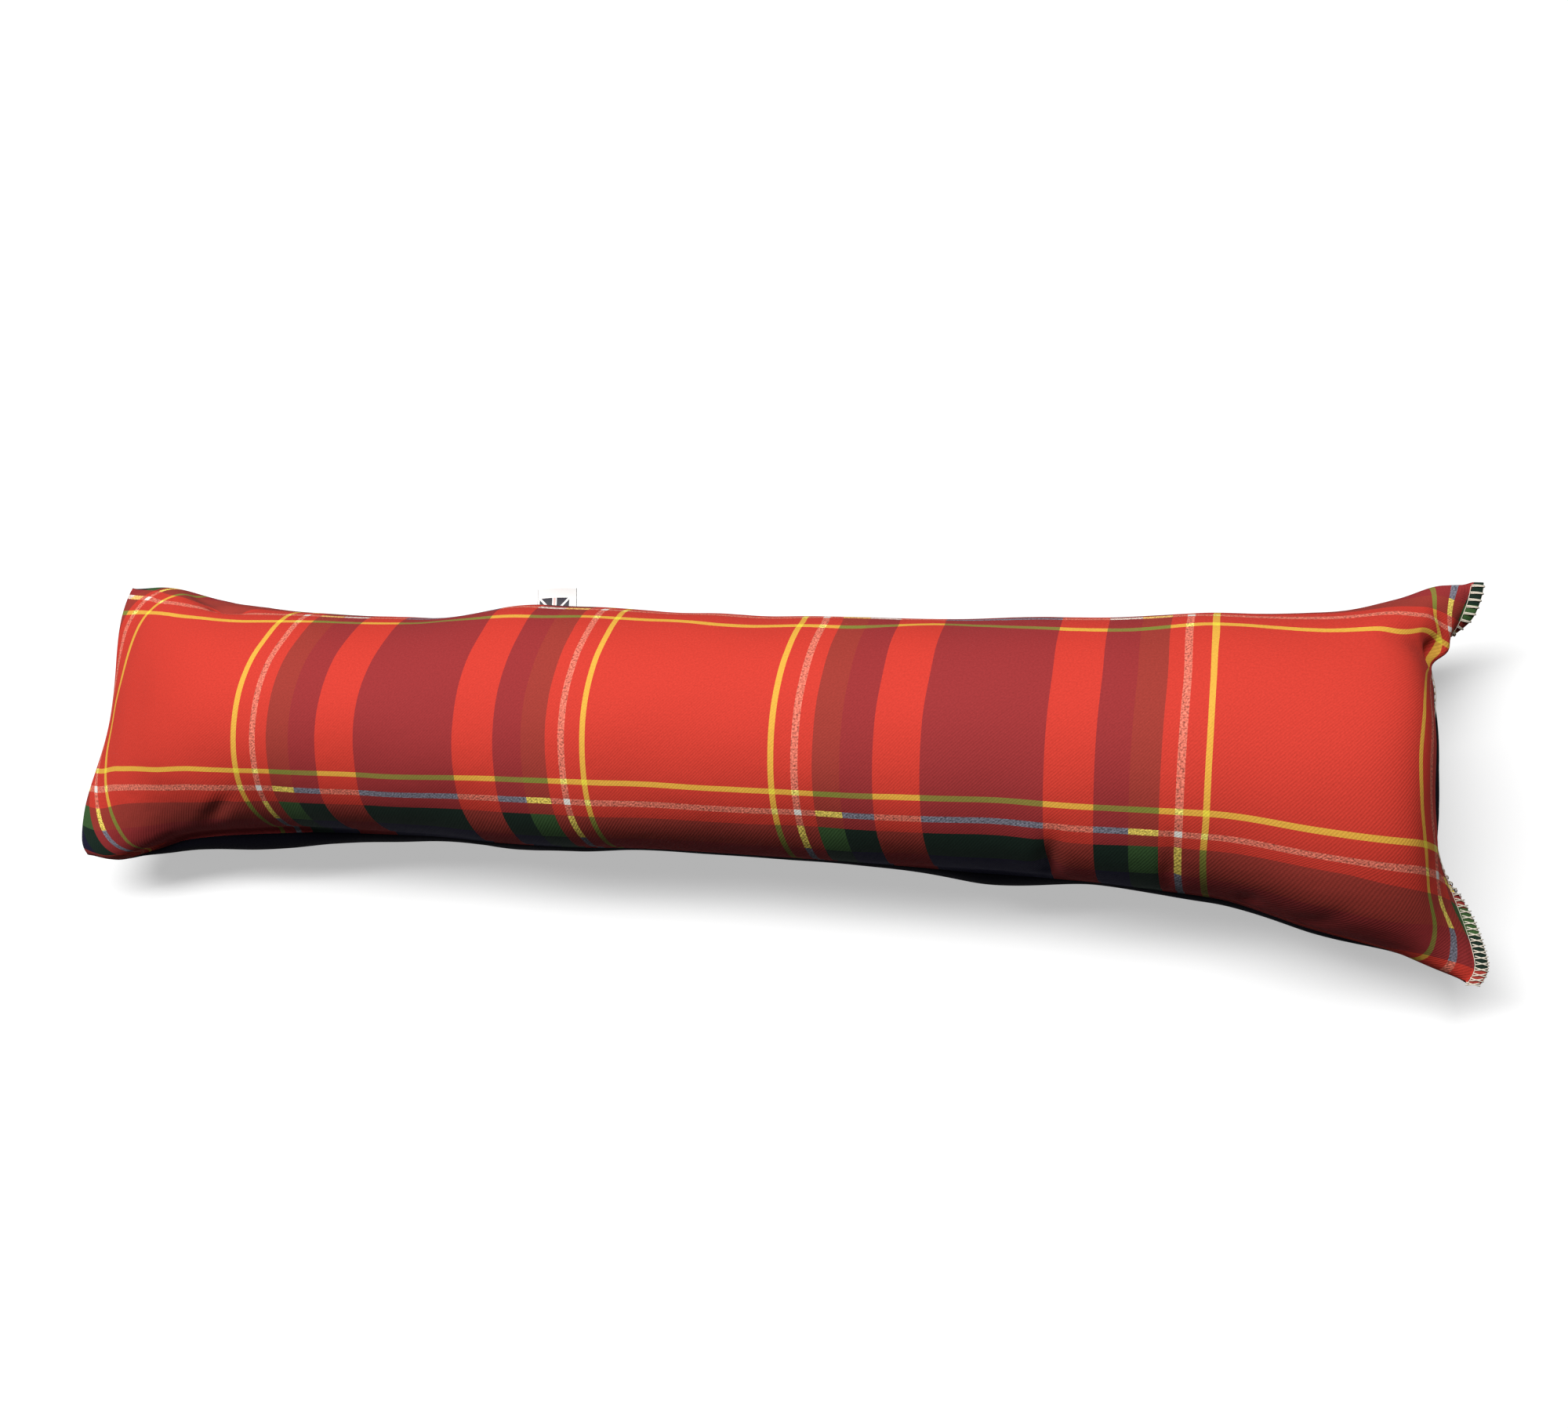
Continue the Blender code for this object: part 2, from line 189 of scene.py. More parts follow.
def simulate_filling():
    """Blow the two panels up from their cut size, with the seams and the underside held."""
    n, m = ROWS_ALONG, COLUMNS
    index_front = np.arange(n * m).reshape(n, m)
    index_back = index_front.copy()
    index_back[1:-1, 1:-1] = n * m + np.arange((n - 2) * (m - 2)).reshape(n - 2, m - 2)
    points = np.concatenate([front.reshape(-1, 3), back[1:-1, 1:-1].reshape(-1, 3)])
    flat_u, flat_q = np.meshgrid(cloth_u, cloth_q, indexing="ij")
    cut = np.stack([flat_u, flat_q * PANEL_WIDTH / 2, np.full(flat_u.shape, 0.001)], axis=-1)
    cut_back = cut * [1, 1, -1]
    cut_points = np.concatenate([cut.reshape(-1, 3), cut_back[1:-1, 1:-1].reshape(-1, 3)])
    quads = []
    for index, turn in ((index_front, 1), (index_back, -1)):
        q4 = np.stack([index[:-1, :-1], index[1:, :-1], index[1:, 1:], index[:-1, 1:]], axis=-1)
        quads.append(q4.reshape(-1, 4)[:, ::turn])
    mesh = bpy.data.meshes.new("filling")
    mesh.from_pydata(points.tolist(), [], np.concatenate(quads).tolist())
    body = bpy.data.objects.new("filling", mesh)
    bpy.context.scene.collection.objects.link(body)
    body.shape_key_add(name="Basis")
    rest = body.shape_key_add(name="cut")
    rest.data.foreach_set("co", (cut_points * SPARE_CLOTH).ravel())
    rest.value = 0.0
    held = body.vertex_groups.new(name="held")
    rim = np.unique(np.concatenate([index_front[0], index_front[-1], index_front[:, 0], index_front[:, -1]]))
    resting = np.nonzero(points[:, 2] < 0.0005)[0]
    held.add(np.unique(np.concatenate([rim, resting])).tolist(), 1.0, "REPLACE")
    cloth = body.modifiers.new("cloth", "CLOTH")
    cloth.settings.quality = 6
    cloth.settings.mass = 0.001
    cloth.settings.tension_stiffness = 18
    cloth.settings.compression_stiffness = 12
    cloth.settings.shear_stiffness = 6
    cloth.settings.bending_stiffness = 0.35
    cloth.settings.tension_damping = 12
    cloth.settings.compression_damping = 12
    cloth.settings.shear_damping = 12
    cloth.settings.air_damping = 2
    cloth.settings.use_pressure = True
    cloth.settings.uniform_pressure_force = 8
    cloth.settings.vertex_group_mass = "held"
    cloth.settings.rest_shape_key = rest
    cloth.settings.effector_weights.gravity = 0
    cloth.collision_settings.use_self_collision = False
    cloth.point_cache.frame_start = 1
    cloth.point_cache.frame_end = 20
    scene = bpy.context.scene
    for number in range(1, 21):
        scene.frame_set(number)
    settled = body.evaluated_get(bpy.context.evaluated_depsgraph_get())
    result = np.zeros(len(points) * 3, np.float32)
    settled.to_mesh().vertices.foreach_get("co", result)
    settled.to_mesh_clear()
    scene.frame_set(1)
    bpy.data.objects.remove(body)
    bpy.data.meshes.remove(mesh)
    step = result.reshape(-1, 3) - points
    length = np.linalg.norm(step, axis=1, keepdims=True)
    step *= np.minimum(1.0, MOVE_CAP / np.maximum(length, 1e-9))
    moved = points + step
    moved[:, 2] = np.maximum(moved[:, 2], 0.0)
    new_front = moved[: n * m].reshape(n, m, 3)
    new_back = new_front.copy()
    new_back[1:-1, 1:-1] = moved[n * m:].reshape(n - 2, m - 2, 3)
    return new_front, new_back


front, back = simulate_filling()


def outward(grid, side):
    """Unit normals of a grid of points."""
    across = np.gradient(grid, axis=1)
    along = np.gradient(grid, axis=0)
    normal = np.cross(along, across) * side
    return normal / np.maximum(np.linalg.norm(normal, axis=-1, keepdims=True), 1e-9)


# Folds and puckers: place along the cloth and across it, heading from the length, half
# length, half width and depth
Fold = namedtuple("Fold", "at across heading length width depth")
FOLDS = [
    Fold(0.880, 0.58, math.radians(80), 0.010, 0.0045, 0.008),
    Fold(0.884, 0.72, math.radians(150), 0.012, 0.005, 0.004),
    Fold(0.078, 0.86, math.radians(-25), 0.026, 0.006, 0.004),
    Fold(0.110, 0.71, math.radians(-15), 0.013, 0.0045, 0.013),
    Fold(0.655, -0.80, math.radians(80), 0.026, 0.005, 0.005),
    Fold(0.126, -0.72, math.radians(44), 0.018, 0.0045, 0.003),
    Fold(0.722, -0.72, math.radians(85), 0.022, 0.004, 0.0025),
    Fold(0.763, -0.90, math.radians(75), 0.010, 0.004, 0.0025),
    Fold(0.800, -0.90, math.radians(60), 0.020, 0.007, 0.0015),
]
FOLD_FADE = 0.010
grid_u, grid_q = np.meshgrid(cloth_u, cloth_q, indexing="ij")
press = np.zeros(grid_u.shape)
for fold in FOLDS:
    along = grid_u - fold.at
    across = (grid_q - fold.across) * PANEL_WIDTH / 2
    lengthwise = along * math.cos(fold.heading) + across * math.sin(fold.heading)
    sideways = across * math.cos(fold.heading) - along * math.sin(fold.heading)
    press += fold.depth * np.exp(-((lengthwise / fold.length) ** 2 + (sideways / fold.width) ** 2))
inside = np.minimum(np.minimum(grid_u, PANEL_LENGTH - grid_u), (1 - np.abs(grid_q)) * PANEL_WIDTH / 2)
fade = np.clip(inside / FOLD_FADE, 0, 1)
front_out, back_out = outward(front, 1), outward(back, -1)
front = front - front_out * (press * fade)[..., None]

# Soft lumps of the filling under the cloth
LUMP_SIZE = 0.045
LUMP_HEIGHT = 0.0016
for grid, normals in ((front, front_out), (back, back_out)):
    lump = np.array([[noise.noise(Vector(point) / LUMP_SIZE) for point in row] for row in grid])
    grid += normals * (lump * LUMP_HEIGHT * fade)[..., None]
back[..., 2] = np.maximum(back[..., 2], 0.0)

# The seam is drawn in between the two faces as a shallow groove
GROOVE = 0.0014
middle = front.mean(axis=1, keepdims=True)
pull = middle - front
pull[..., 0] = 0.0
pull[..., 2] = 0.0
pull /= np.maximum(np.linalg.norm(pull, axis=-1, keepdims=True), 1e-9)
for column in (0, -1):
    front[1:-1, column] += pull[1:-1, column] * GROOVE
    back[1:-1, column] = front[1:-1, column]

# Between the two ears the front cloth rolls over the seam at the far ear's root
LIP_AT = 0.65
LIP_HALF_WIDTH = 0.09
lip = np.exp(-(((grid_q - LIP_AT) / LIP_HALF_WIDTH) ** 2))
over_seam = lip * np.exp(-(((grid_u - 0.886) / 0.009) ** 2))
front += over_seam[..., None] * [0.008, -0.005, -0.001]
tucked = lip * np.exp(-(((grid_u - PANEL_LENGTH) / 0.005) ** 2))
for grid in (front, back):
    grid += tucked[..., None] * [-0.003, 0.002, -0.008]

# Between the ears the back bulges out past the seam
BULGE = 0.0055
bulge_along = np.exp(-(((cloth_u - 0.878) / 0.012) ** 2))
bulge_across = np.exp(-(((cloth_q - 0.06) / 0.5) ** 4))
back += (bulge_along[:, None] * bulge_across[None])[..., None] * [BULGE, 0.0, 0.0]

# The fin beyond the closing seam: three rows out along its upper face and back along the
# lower. It stands straight out at the ears and is turned down between them.
FIN_ROWS = (0.15, 0.5, 1.0)
FIN_THICKNESS = 0.0018
FIN_PLACES = (-1.0, -0.68, -0.56, -0.42, 0.68, 0.74, 0.81, 1.0)
FIN_TURNS = (0.0, 18.0, 50.0, 110.0, 116.0, 80.0, 22.0, 0.0)


def fin_turn(q):
    """How far the fin is turned down at the places q across, in radians."""
    return np.radians(np.interp(q, FIN_PLACES, FIN_TURNS))


droop = fin_turn(cloth_q)
away = np.stack([np.cos(droop), np.zeros(COLUMNS), -np.sin(droop)], axis=1)
up = np.stack([np.sin(droop), np.zeros(COLUMNS), np.cos(droop)], axis=1)
fin_upper = [front[-1] + away * FIN_WIDTH * share + up * FIN_THICKNESS / 2 for share in FIN_ROWS]
fin_lower = [front[-1] + away * FIN_WIDTH * share - up * FIN_THICKNESS / 2 for share in FIN_ROWS]

# How the sett lies on the cloth: its repeat in metres, the place in repeats of the left seam,
# counted from the wide navy stripe, and that of the middle line, from the big red square's
SETT = 0.351
SETT_LEFT = -0.770
SETT_MIDDLE = 0.0225

# Each line across the tube: its place in repeats, and how many millimetres the filling has
# drawn it along the cloth at the places in DRAWN_AT, from the near seam to the far one
DRAWN_AT = (-1.0, -0.8, -0.6, -0.4, -0.2, 0.0, 0.2, 0.4, 0.52, 0.6, 0.68, 0.76, 0.82, 1.0)
Line = namedtuple("Line", "place drawn")
LINES = [
    Line(-0.7025, (23, 7, -3, -13, -17, -14, -12, -10, -9, -8, -5, -1, 3, 30)),
    Line(-0.6643, (13, 7, -1.5, -10.5, -17, -17, -10.5, -7, -4, -1, 5, 14, 22, 38)),
    Line(-0.3357, (-1, -1, -1, 1, 3.4, 5.6, 8, 10, 10, 9, 8, 7, 6, 5)),
    Line(-0.2975, (-2.6, -2.6, -1.9, 1.5, 3.6, 5.8, 7.8, 9.7, 9, 8, 7, 6, 5, 5)),
    Line(0.2975, (0, 0.5, -0.4, -0.1, -0.2, 0.1, 1.7, 3.2, 2.4, 1, 0, 0, 0, 0)),
    Line(0.3357, (0, -0.2, -0.4, -0.5, -0.1, 0.1, 1.1, 2.4, 1.8, 1.4, 0, 0, 0, 0)),
    Line(0.6643, (0, -0.2, -0.3, -0.5, -0.2, 0.2, 1.3, 2.3, 2.2, 2.4, 1, 0, 0, 0)),
    Line(0.7025, (0, 0.2, -0.2, 0.1, 0.5, 1, 2.3, 2.8, 3.3, 3, 1, 0, 0, 0)),
    Line(1.2975, (0, -0.2, 0.6, 1.5, 2, 2.5, 2.9, 1.8, 1, 0.8, 0.8, 0, 0, 0)),
    Line(1.3357, (0, 0, 0.4, 2.2, 2.9, 3.3, 3.1, 2.2, 1.6, 1, 0.5, 0.3, 0.3, 0)),
    Line(1.6643, (11, 13.5, 4.5, -2.5, -9, -12.5, -8.5, 5, 32, 31, 25, 21, 19, 19)),
    Line(1.7025, (17, 17, 3.5, -1, -10.5, -16.5, -13.5, 1, 28, 29, 25, 20, 18, 23)),
    Line(1.7316, (22, 22, 11, 6, -4, -12, -9, 4, 31, 31, 27, 21, 20, 24)),
]
# How far the lines along the tube have drifted towards the far seam, in shares of half the
# width: the green stripe's edge and the two lines on the near side, then the far yellow line,
# the far white line, the far edge and the near edge
Drift = namedtuple("Drift", "at near_green near_lines far_yellow far_white far_edge near_edge")
DRIFT = [
    Drift(0.000, -0.020, 0.010, 0.215, 0.250, 0.150, -0.020),
    Drift(0.030, -0.020, 0.024, 0.145, 0.150, 0.120, -0.030),
    Drift(0.055, -0.015, 0.004, 0.080, 0.062, 0.030, -0.080),
    Drift(0.085, -0.037, -0.017, 0.015, 0.028, 0.000, -0.125),
    Drift(0.120, -0.020, 0.006, -0.030, -0.042, 0.000, -0.125),
    Drift(0.160, -0.024, -0.004, -0.045, -0.046, 0.000, -0.125),
    Drift(0.200, 0.000, 0.006, -0.005, -0.010, 0.000, -0.125),
    Drift(0.260, 0.010, 0.012, 0.030, 0.020, 0.000, -0.125),
    Drift(0.300, 0.015, 0.015, -0.020, 0.030, 0.000, -0.125),
    Drift(0.340, 0.020, 0.017, -0.030, 0.035, 0.000, -0.125),
    Drift(0.380, 0.025, 0.022, 0.011, 0.045, 0.000, -0.125),
    Drift(0.420, 0.030, 0.027, 0.019, 0.055, 0.000, -0.125),
    Drift(0.455, 0.030, 0.029, -0.022, 0.040, 0.000, -0.125),
    Drift(0.500, 0.030, 0.026, -0.005, 0.040, 0.000, -0.125),
    Drift(0.535, 0.030, 0.028, -0.025, 0.040, 0.000, -0.125),
    Drift(0.590, 0.035, 0.030, 0.060, 0.055, 0.000, -0.125),
    Drift(0.640, 0.040, 0.033, -0.011, 0.040, 0.000, -0.125),
    Drift(0.690, 0.050, 0.040, -0.028, 0.035, 0.000, -0.125),
    Drift(0.740, 0.075, 0.050, 0.030, 0.045, 0.000, -0.125),
    Drift(0.800, 0.100, 0.061, 0.012, 0.038, 0.000, -0.125),
    Drift(0.840, 0.050, 0.050, 0.020, 0.052, -0.030, -0.080),
    Drift(0.870, 0.015, 0.020, 0.100, 0.060, -0.060, 0.000),
    Drift(0.900, 0.000, 0.000, 0.122, 0.060, -0.060, 0.000),
]
GREEN_EDGE, WHITE_LINE, YELLOW_LINE = 0.2316, 0.2025, 0.1643


def between_lines(place, knots, values):
    """Repeats between the known lines, and at an even rate beyond them."""
    inner = np.interp(place, knots, values)
    outside = np.minimum(place - knots[0], 0) + np.maximum(place - knots[-1], 0)
    return inner + outside / SETT


def sett_along(u, q):
    """Repeats along the tube on a grid of cloth places."""
    result = np.zeros(u.shape)
    for j in range(u.shape[1]):
        knots = [
            (line.place - SETT_LEFT) * SETT + eased(DRAWN_AT, line.drawn, q[0, j]) / 1000 for line in LINES
        ]
        result[:, j] = between_lines(u[:, j], knots, [line.place for line in LINES])
    return result


def sett_across(u, q):
    """Repeats across the tube on a grid of cloth places."""
    half = PANEL_WIDTH / 2
    known = (GREEN_EDGE, WHITE_LINE, YELLOW_LINE, -YELLOW_LINE, -WHITE_LINE)
    columns = ("near_green", "near_lines", "near_lines", "far_yellow", "far_white")
    result = np.zeros(u.shape)
    at = [row.at for row in DRIFT]
    for i in range(u.shape[0]):
        drift = {name: eased(at, [getattr(row, name) for row in DRIFT], u[i, 0]) for name in Drift._fields[1:]}
        knots = [(SETT_MIDDLE - place) * SETT / half + drift[name] for place, name in zip(known, columns)]
        knots = [-1.0 + drift["near_edge"], *knots, 1.0 + max(drift["far_edge"], knots[-1] - 0.98)]
        values = [SETT_MIDDLE + half / SETT, *known, SETT_MIDDLE - half / SETT]
        result[i] = between_lines(q[i] * half, np.array(knots) * half, values)
    return result


def solid_between(name, upper, lower, upper_uv, lower_uv, lower_slots, materials):
    """A closed piece between two grids that share their outline, with the cloth's own UVs."""
    mesh = bmesh.new()
    uv_layer = mesh.loops.layers.uv.new("cloth")
    rows, columns = upper.shape[:2]
    top = [[mesh.verts.new(point) for point in row] for row in upper]
    bottom = [list(row) for row in top]
    for i in range(1, rows - 1):
        for j in range(1, columns - 1):
            bottom[i][j] = mesh.verts.new(lower[i, j])
    for grid, uv, slots, flip in ((top, upper_uv, None, False), (bottom, lower_uv, lower_slots, True)):
        for i in range(rows - 1):
            for j in range(columns - 1):
                corners = [(i, j), (i + 1, j), (i + 1, j + 1), (i, j + 1)]
                if flip:
                    corners.reverse()
                face = mesh.faces.new([grid[a][b] for a, b in corners])
                face.smooth = True
                face.material_index = 0 if slots is None else int(slots[i])
                for loop, (a, b) in zip(face.loops, corners):
                    loop[uv_layer].uv = uv[a, b]
    data = bpy.data.meshes.new(name)
    mesh.to_mesh(data)
    mesh.free()
    for material in materials:
        data.materials.append(material)
    piece = bpy.data.objects.new(name, data)
    bpy.context.scene.collection.objects.link(piece)
    return piece


def smoothed(piece, levels):
    """One subdivision of a piece, applied, so that no modifier is left on it."""
    subdivide = piece.modifiers.new("finer", "SUBSURF")
    subdivide.levels = subdivide.render_levels = levels
    fine = piece.evaluated_get(bpy.context.evaluated_depsgraph_get())
    data = bpy.data.meshes.new_from_object(fine)
    piece.modifiers.clear()
    old = piece.data
    piece.data = data
    data.name = old.name
    bpy.data.meshes.remove(old)
    return piece


# Tartan: stripes by their distance from the wide navy one, in half repeats, so 0 is the
# middle of the navy and 1 the middle of the red
Stripe = namedtuple("Stripe", "start colour")
SETT_STRIPES = [
    Stripe(0.0000, "navy"), Stripe(0.1906, "red"), Stripe(0.3428, "navy"),
    Stripe(0.4468, "green"), Stripe(0.5368, "red"), Stripe(0.5825, "white"),
    Stripe(0.6075, "red"), Stripe(0.6604, "yellow"), Stripe(0.6824, "red"),
]
# What shows where a stripe of one colour crosses a stripe of another
WOVEN = {
    "red": {
        "red": (0.600, 0.047, 0.031), "navy": (0.310, 0.033, 0.034), "green": (0.330, 0.043, 0.032),
        "white": (0.690, 0.172, 0.118), "yellow": (0.760, 0.410, 0.060),
    },
    "navy": {
        "navy": (0.012, 0.011, 0.034), "green": (0.012, 0.026, 0.018),
        "white": (0.200, 0.195, 0.240), "yellow": (0.250, 0.205, 0.045),
    },
    "green": {"green": (0.046, 0.105, 0.034), "white": (0.850, 0.660, 0.130), "yellow": (0.230, 0.235, 0.042)},
    "white": {"white": (0.850, 0.820, 0.760), "yellow": (0.850, 0.740, 0.170)},
    "yellow": {"yellow": (0.850, 0.700, 0.065)},
}


def woven(first, second):
    """The colour of one crossing, whichever way round it is asked for."""
    return WOVEN[first].get(second) or WOVEN[second][first]


def node_group(name, inputs, outputs):
    tree = bpy.data.node_groups.new(name, "ShaderNodeTree")
    for label, kind in inputs:
        tree.interface.new_socket(label, in_out="INPUT", socket_type=kind)
    for label, kind in outputs:
        tree.interface.new_socket(label, in_out="OUTPUT", socket_type=kind)
    return tree, tree.nodes.new("NodeGroupInput"), tree.nodes.new("NodeGroupOutput")


def math_node(tree, operation, first, second=None, third=None):
    node = tree.nodes.new("ShaderNodeMath")
    node.operation = operation
    for socket, value in zip(node.inputs, (first, second, third)):
        if value is None:
            continue
        if isinstance(value, (int, float)):
            socket.default_value = value
        else:
            tree.links.new(value, socket)
    return node.outputs[0]


def mix_node(tree, factor, first, second, blend="MIX"):
    node = tree.nodes.new("ShaderNodeMix")
    node.data_type = "RGBA"
    node.blend_type = blend
    for socket, value in ((node.inputs[0], factor), (node.inputs[6], first), (node.inputs[7], second)):
        if isinstance(value, (int, float)):
            socket.default_value = value
        elif isinstance(value, tuple):
            socket.default_value = (*value, 1.0)
        else:
            tree.links.new(value, socket)
    return node.outputs[2]


def stripes_node(tree, position, pick):
    """A ramp with hard edges whose colours pick(stripe) gives."""
    node = tree.nodes.new("ShaderNodeValToRGB")
    node.color_ramp.interpolation = "CONSTANT"
    elements = node.color_ramp.elements
    while len(elements) > 1:
        elements.remove(elements[-1])
    for number, stripe in enumerate(SETT_STRIPES):
        element = elements[0] if number == 0 else elements.new(stripe.start)
        element.position = stripe.start
        element.color = (*pick(stripe.colour), 1.0)
    tree.links.new(position, node.inputs[0])
    return node.outputs[0]


tartan, tartan_in, tartan_out = node_group(
    "tartan_sett",
    [("Along", "NodeSocketFloat"), ("Across", "NodeSocketFloat")],
    [("Color", "NodeSocketColor"), ("Pale", "NodeSocketFloat")],
)
bands = []
for socket, offset in ((tartan_in.outputs["Along"], 0.5), (tartan_in.outputs["Across"], 0.0)):
    turned = math_node(tartan, "FRACT", math_node(tartan, "ADD", socket, offset))
    from_middle = math_node(tartan, "ABSOLUTE", math_node(tartan, "SUBTRACT", turned, 0.5))
    bands.append(math_node(tartan, "MULTIPLY", from_middle, 2.0))
along_band, across_band = bands


def stripe_mask(band, line):
    """White where the band lies on a stripe of this colour."""
    return stripes_node(tartan, band, lambda name: (1.0,) * 3 if name == line else (0.0,) * 3)


result = stripes_node(tartan, along_band, lambda name: woven(name, "red"))
for line in ("navy", "green", "white", "yellow"):
    mask = stripe_mask(across_band, line)
    crossed = stripes_node(tartan, along_band, lambda name: woven(name, line))
    result = mix_node(tartan, mask, result, crossed)
# Painted highlight: on the far side the white line is painted lighter where it crosses the narrow navy and the
# green, for the sheen there at a grazing view
far_side = math_node(tartan, "LESS_THAN", tartan_in.outputs["Across"], 0.0)
white_across = stripe_mask(across_band, "white")
for number, colour in ((2, (0.800, 0.640, 0.560)), (3, (0.900, 0.560, 0.170))):
    past = math_node(tartan, "GREATER_THAN", along_band, SETT_STRIPES[number].start)
    before = math_node(tartan, "LESS_THAN", along_band, SETT_STRIPES[number + 1].start)
    within = math_node(tartan, "MULTIPLY", past, before)
    far_painted_highlight = math_node(tartan, "MULTIPLY", math_node(tartan, "MULTIPLY", within, far_side), white_across)
    # These lighter far crossing colours are a painted highlight, not the cloth's own colour
    result = mix_node(tartan, far_painted_highlight, result, colour)
tartan.links.new(result, tartan_out.inputs["Color"])
# Where just one of the two crossing stripes is white, single threads show
white_along = stripe_mask(along_band, "white")
one_white = math_node(tartan, "ABSOLUTE", math_node(tartan, "SUBTRACT", white_along, white_across))
tartan.links.new(one_white, tartan_out.inputs["Pale"])

# Twill: diagonal ribs of fine threads, as a height and a thread mask
THREAD = 0.0005
twill, twill_in, twill_out = node_group(
    "twill_threads",
    [("Cloth", "NodeSocketVector"), ("Thread", "NodeSocketFloat")],
    [("Height", "NodeSocketFloat"), ("Speckle", "NodeSocketFloat")],
)
place = twill.nodes.new("ShaderNodeSeparateXYZ")
twill.links.new(twill_in.outputs["Cloth"], place.inputs[0])
diagonal = math_node(twill, "ADD", place.outputs[0], place.outputs[1])
turns = math_node(twill, "DIVIDE", diagonal, math_node(twill, "MULTIPLY", twill_in.outputs["Thread"], 4.0))
rib = math_node(twill, "SINE", math_node(twill, "MULTIPLY", turns, 2 * math.pi))
crosswise = math_node(twill, "DIVIDE", place.outputs[1], twill_in.outputs["Thread"])
thread = math_node(twill, "SINE", math_node(twill, "MULTIPLY", crosswise, 2 * math.pi))
height = math_node(twill, "MULTIPLY_ADD", thread, 0.35, rib)
twill.links.new(height, twill_out.inputs["Height"])
grain = twill.nodes.new("ShaderNodeTexNoise")
grain.inputs["Scale"].default_value = 850.0
grain.inputs["Detail"].default_value = 2.0
twill.links.new(twill_in.outputs["Cloth"], grain.inputs["Vector"])
twill.links.new(grain.outputs["Fac"], twill_out.inputs["Speckle"])

cloth_red = bpy.data.materials.new("tartan_cloth_look")
cloth_red.use_nodes = True
tree = cloth_red.node_tree
shader = tree.nodes["Principled BSDF"]
uv = tree.nodes.new("ShaderNodeUVMap")
uv.uv_map = "cloth"
place = tree.nodes.new("ShaderNodeSeparateXYZ")
tree.links.new(uv.outputs[0], place.inputs[0])
sett = tree.nodes.new("ShaderNodeGroup")
sett.node_tree = tartan
tree.links.new(math_node(tree, "DIVIDE", place.outputs[0], SETT), sett.inputs["Along"])
tree.links.new(math_node(tree, "DIVIDE", place.outputs[1], SETT), sett.inputs["Across"])
weave = tree.nodes.new("ShaderNodeGroup")
weave.node_tree = twill
weave.inputs["Thread"].default_value = THREAD
tree.links.new(uv.outputs[0], weave.inputs["Cloth"])
shades = []
for lowest, highest in ((0.90, 1.06), (0.35, 1.60)):
    shade = tree.nodes.new("ShaderNodeMapRange")
    shade.inputs["From Min"].default_value = 0.3
    shade.inputs["From Max"].default_value = 0.7
    shade.inputs["To Min"].default_value = lowest
    shade.inputs["To Max"].default_value = highest
    tree.links.new(weave.outputs["Speckle"], shade.inputs["Value"])
    shades.append(shade.outputs[0])
threads = mix_node(tree, sett.outputs["Pale"], *shades)
speckled = mix_node(tree, 1.0, sett.outputs["Color"], threads, "MULTIPLY")
tree.links.new(speckled, shader.inputs["Base Color"])
bump = tree.nodes.new("ShaderNodeBump")
bump.inputs["Strength"].default_value = 0.35
bump.inputs["Distance"].default_value = 0.00012
tree.links.new(weave.outputs["Height"], bump.inputs["Height"])
tree.links.new(bump.outputs[0], shader.inputs["Normal"])
shader.inputs["Roughness"].default_value = 0.78
shader.inputs["Sheen Weight"].default_value = 0.01
shader.inputs["Sheen Roughness"].default_value = 0.45
shader.inputs["Specular IOR Level"].default_value = 0.06

# Plain dark cloth of the back
DARK = (0.0026, 0.0024, 0.0052)
cloth_dark = bpy.data.materials.new("dark_cloth_look")
cloth_dark.use_nodes = True
tree = cloth_dark.node_tree
shader = tree.nodes["Principled BSDF"]
uv = tree.nodes.new("ShaderNodeUVMap")
uv.uv_map = "cloth"
weave = tree.nodes.new("ShaderNodeGroup")
weave.node_tree = twill
weave.inputs["Thread"].default_value = 0.0004
tree.links.new(uv.outputs[0], weave.inputs["Cloth"])
dark = mix_node(tree, 0.0, DARK, tuple(channel * 2.2 for channel in DARK))
tree.links.new(weave.outputs["Speckle"], tree.nodes[-1].inputs[0])
tree.links.new(dark, shader.inputs["Base Color"])
bump = tree.nodes.new("ShaderNodeBump")
bump.inputs["Strength"].default_value = 0.3
bump.inputs["Distance"].default_value = 0.00010
tree.links.new(weave.outputs["Height"], bump.inputs["Height"])
tree.links.new(bump.outputs[0], shader.inputs["Normal"])
shader.inputs["Roughness"].default_value = 0.85
shader.inputs["Specular IOR Level"].default_value = 0.05

SKIN = 0.0006
body_uv = np.stack([sett_along(grid_u, grid_q), sett_across(grid_u, grid_q)], axis=-1) * SETT
fin_uv = [body_uv[-1] + [FIN_WIDTH * share, 0.0] for share in FIN_ROWS]
upper = np.concatenate([front, fin_upper])
lower = np.concatenate([back - back_out * SKIN, fin_lower])
upper_uv = np.concatenate([body_uv, fin_uv])
edge = (upper[-1] + lower[-1]) / 2
upper = np.concatenate([upper, edge[None]])
lower = np.concatenate([lower, edge[None]])
upper_uv = np.concatenate([upper_uv, upper_uv[-1:] + [0.0008, 0.0]])
slots = [0] * (ROWS_ALONG - 1) + [1] * (len(FIN_ROWS) + 1)
tube = solid_between("tartan_tube", upper, lower, upper_uv, upper_uv, slots, [cloth_red, cloth_dark])
smoothed(tube, 1)
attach(tube, "root")
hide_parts("filled_tube")

# Back panel
# Plain near-black cloth sewn to the front along the same seams; it follows the filling and
# lies flat where the tube rests.

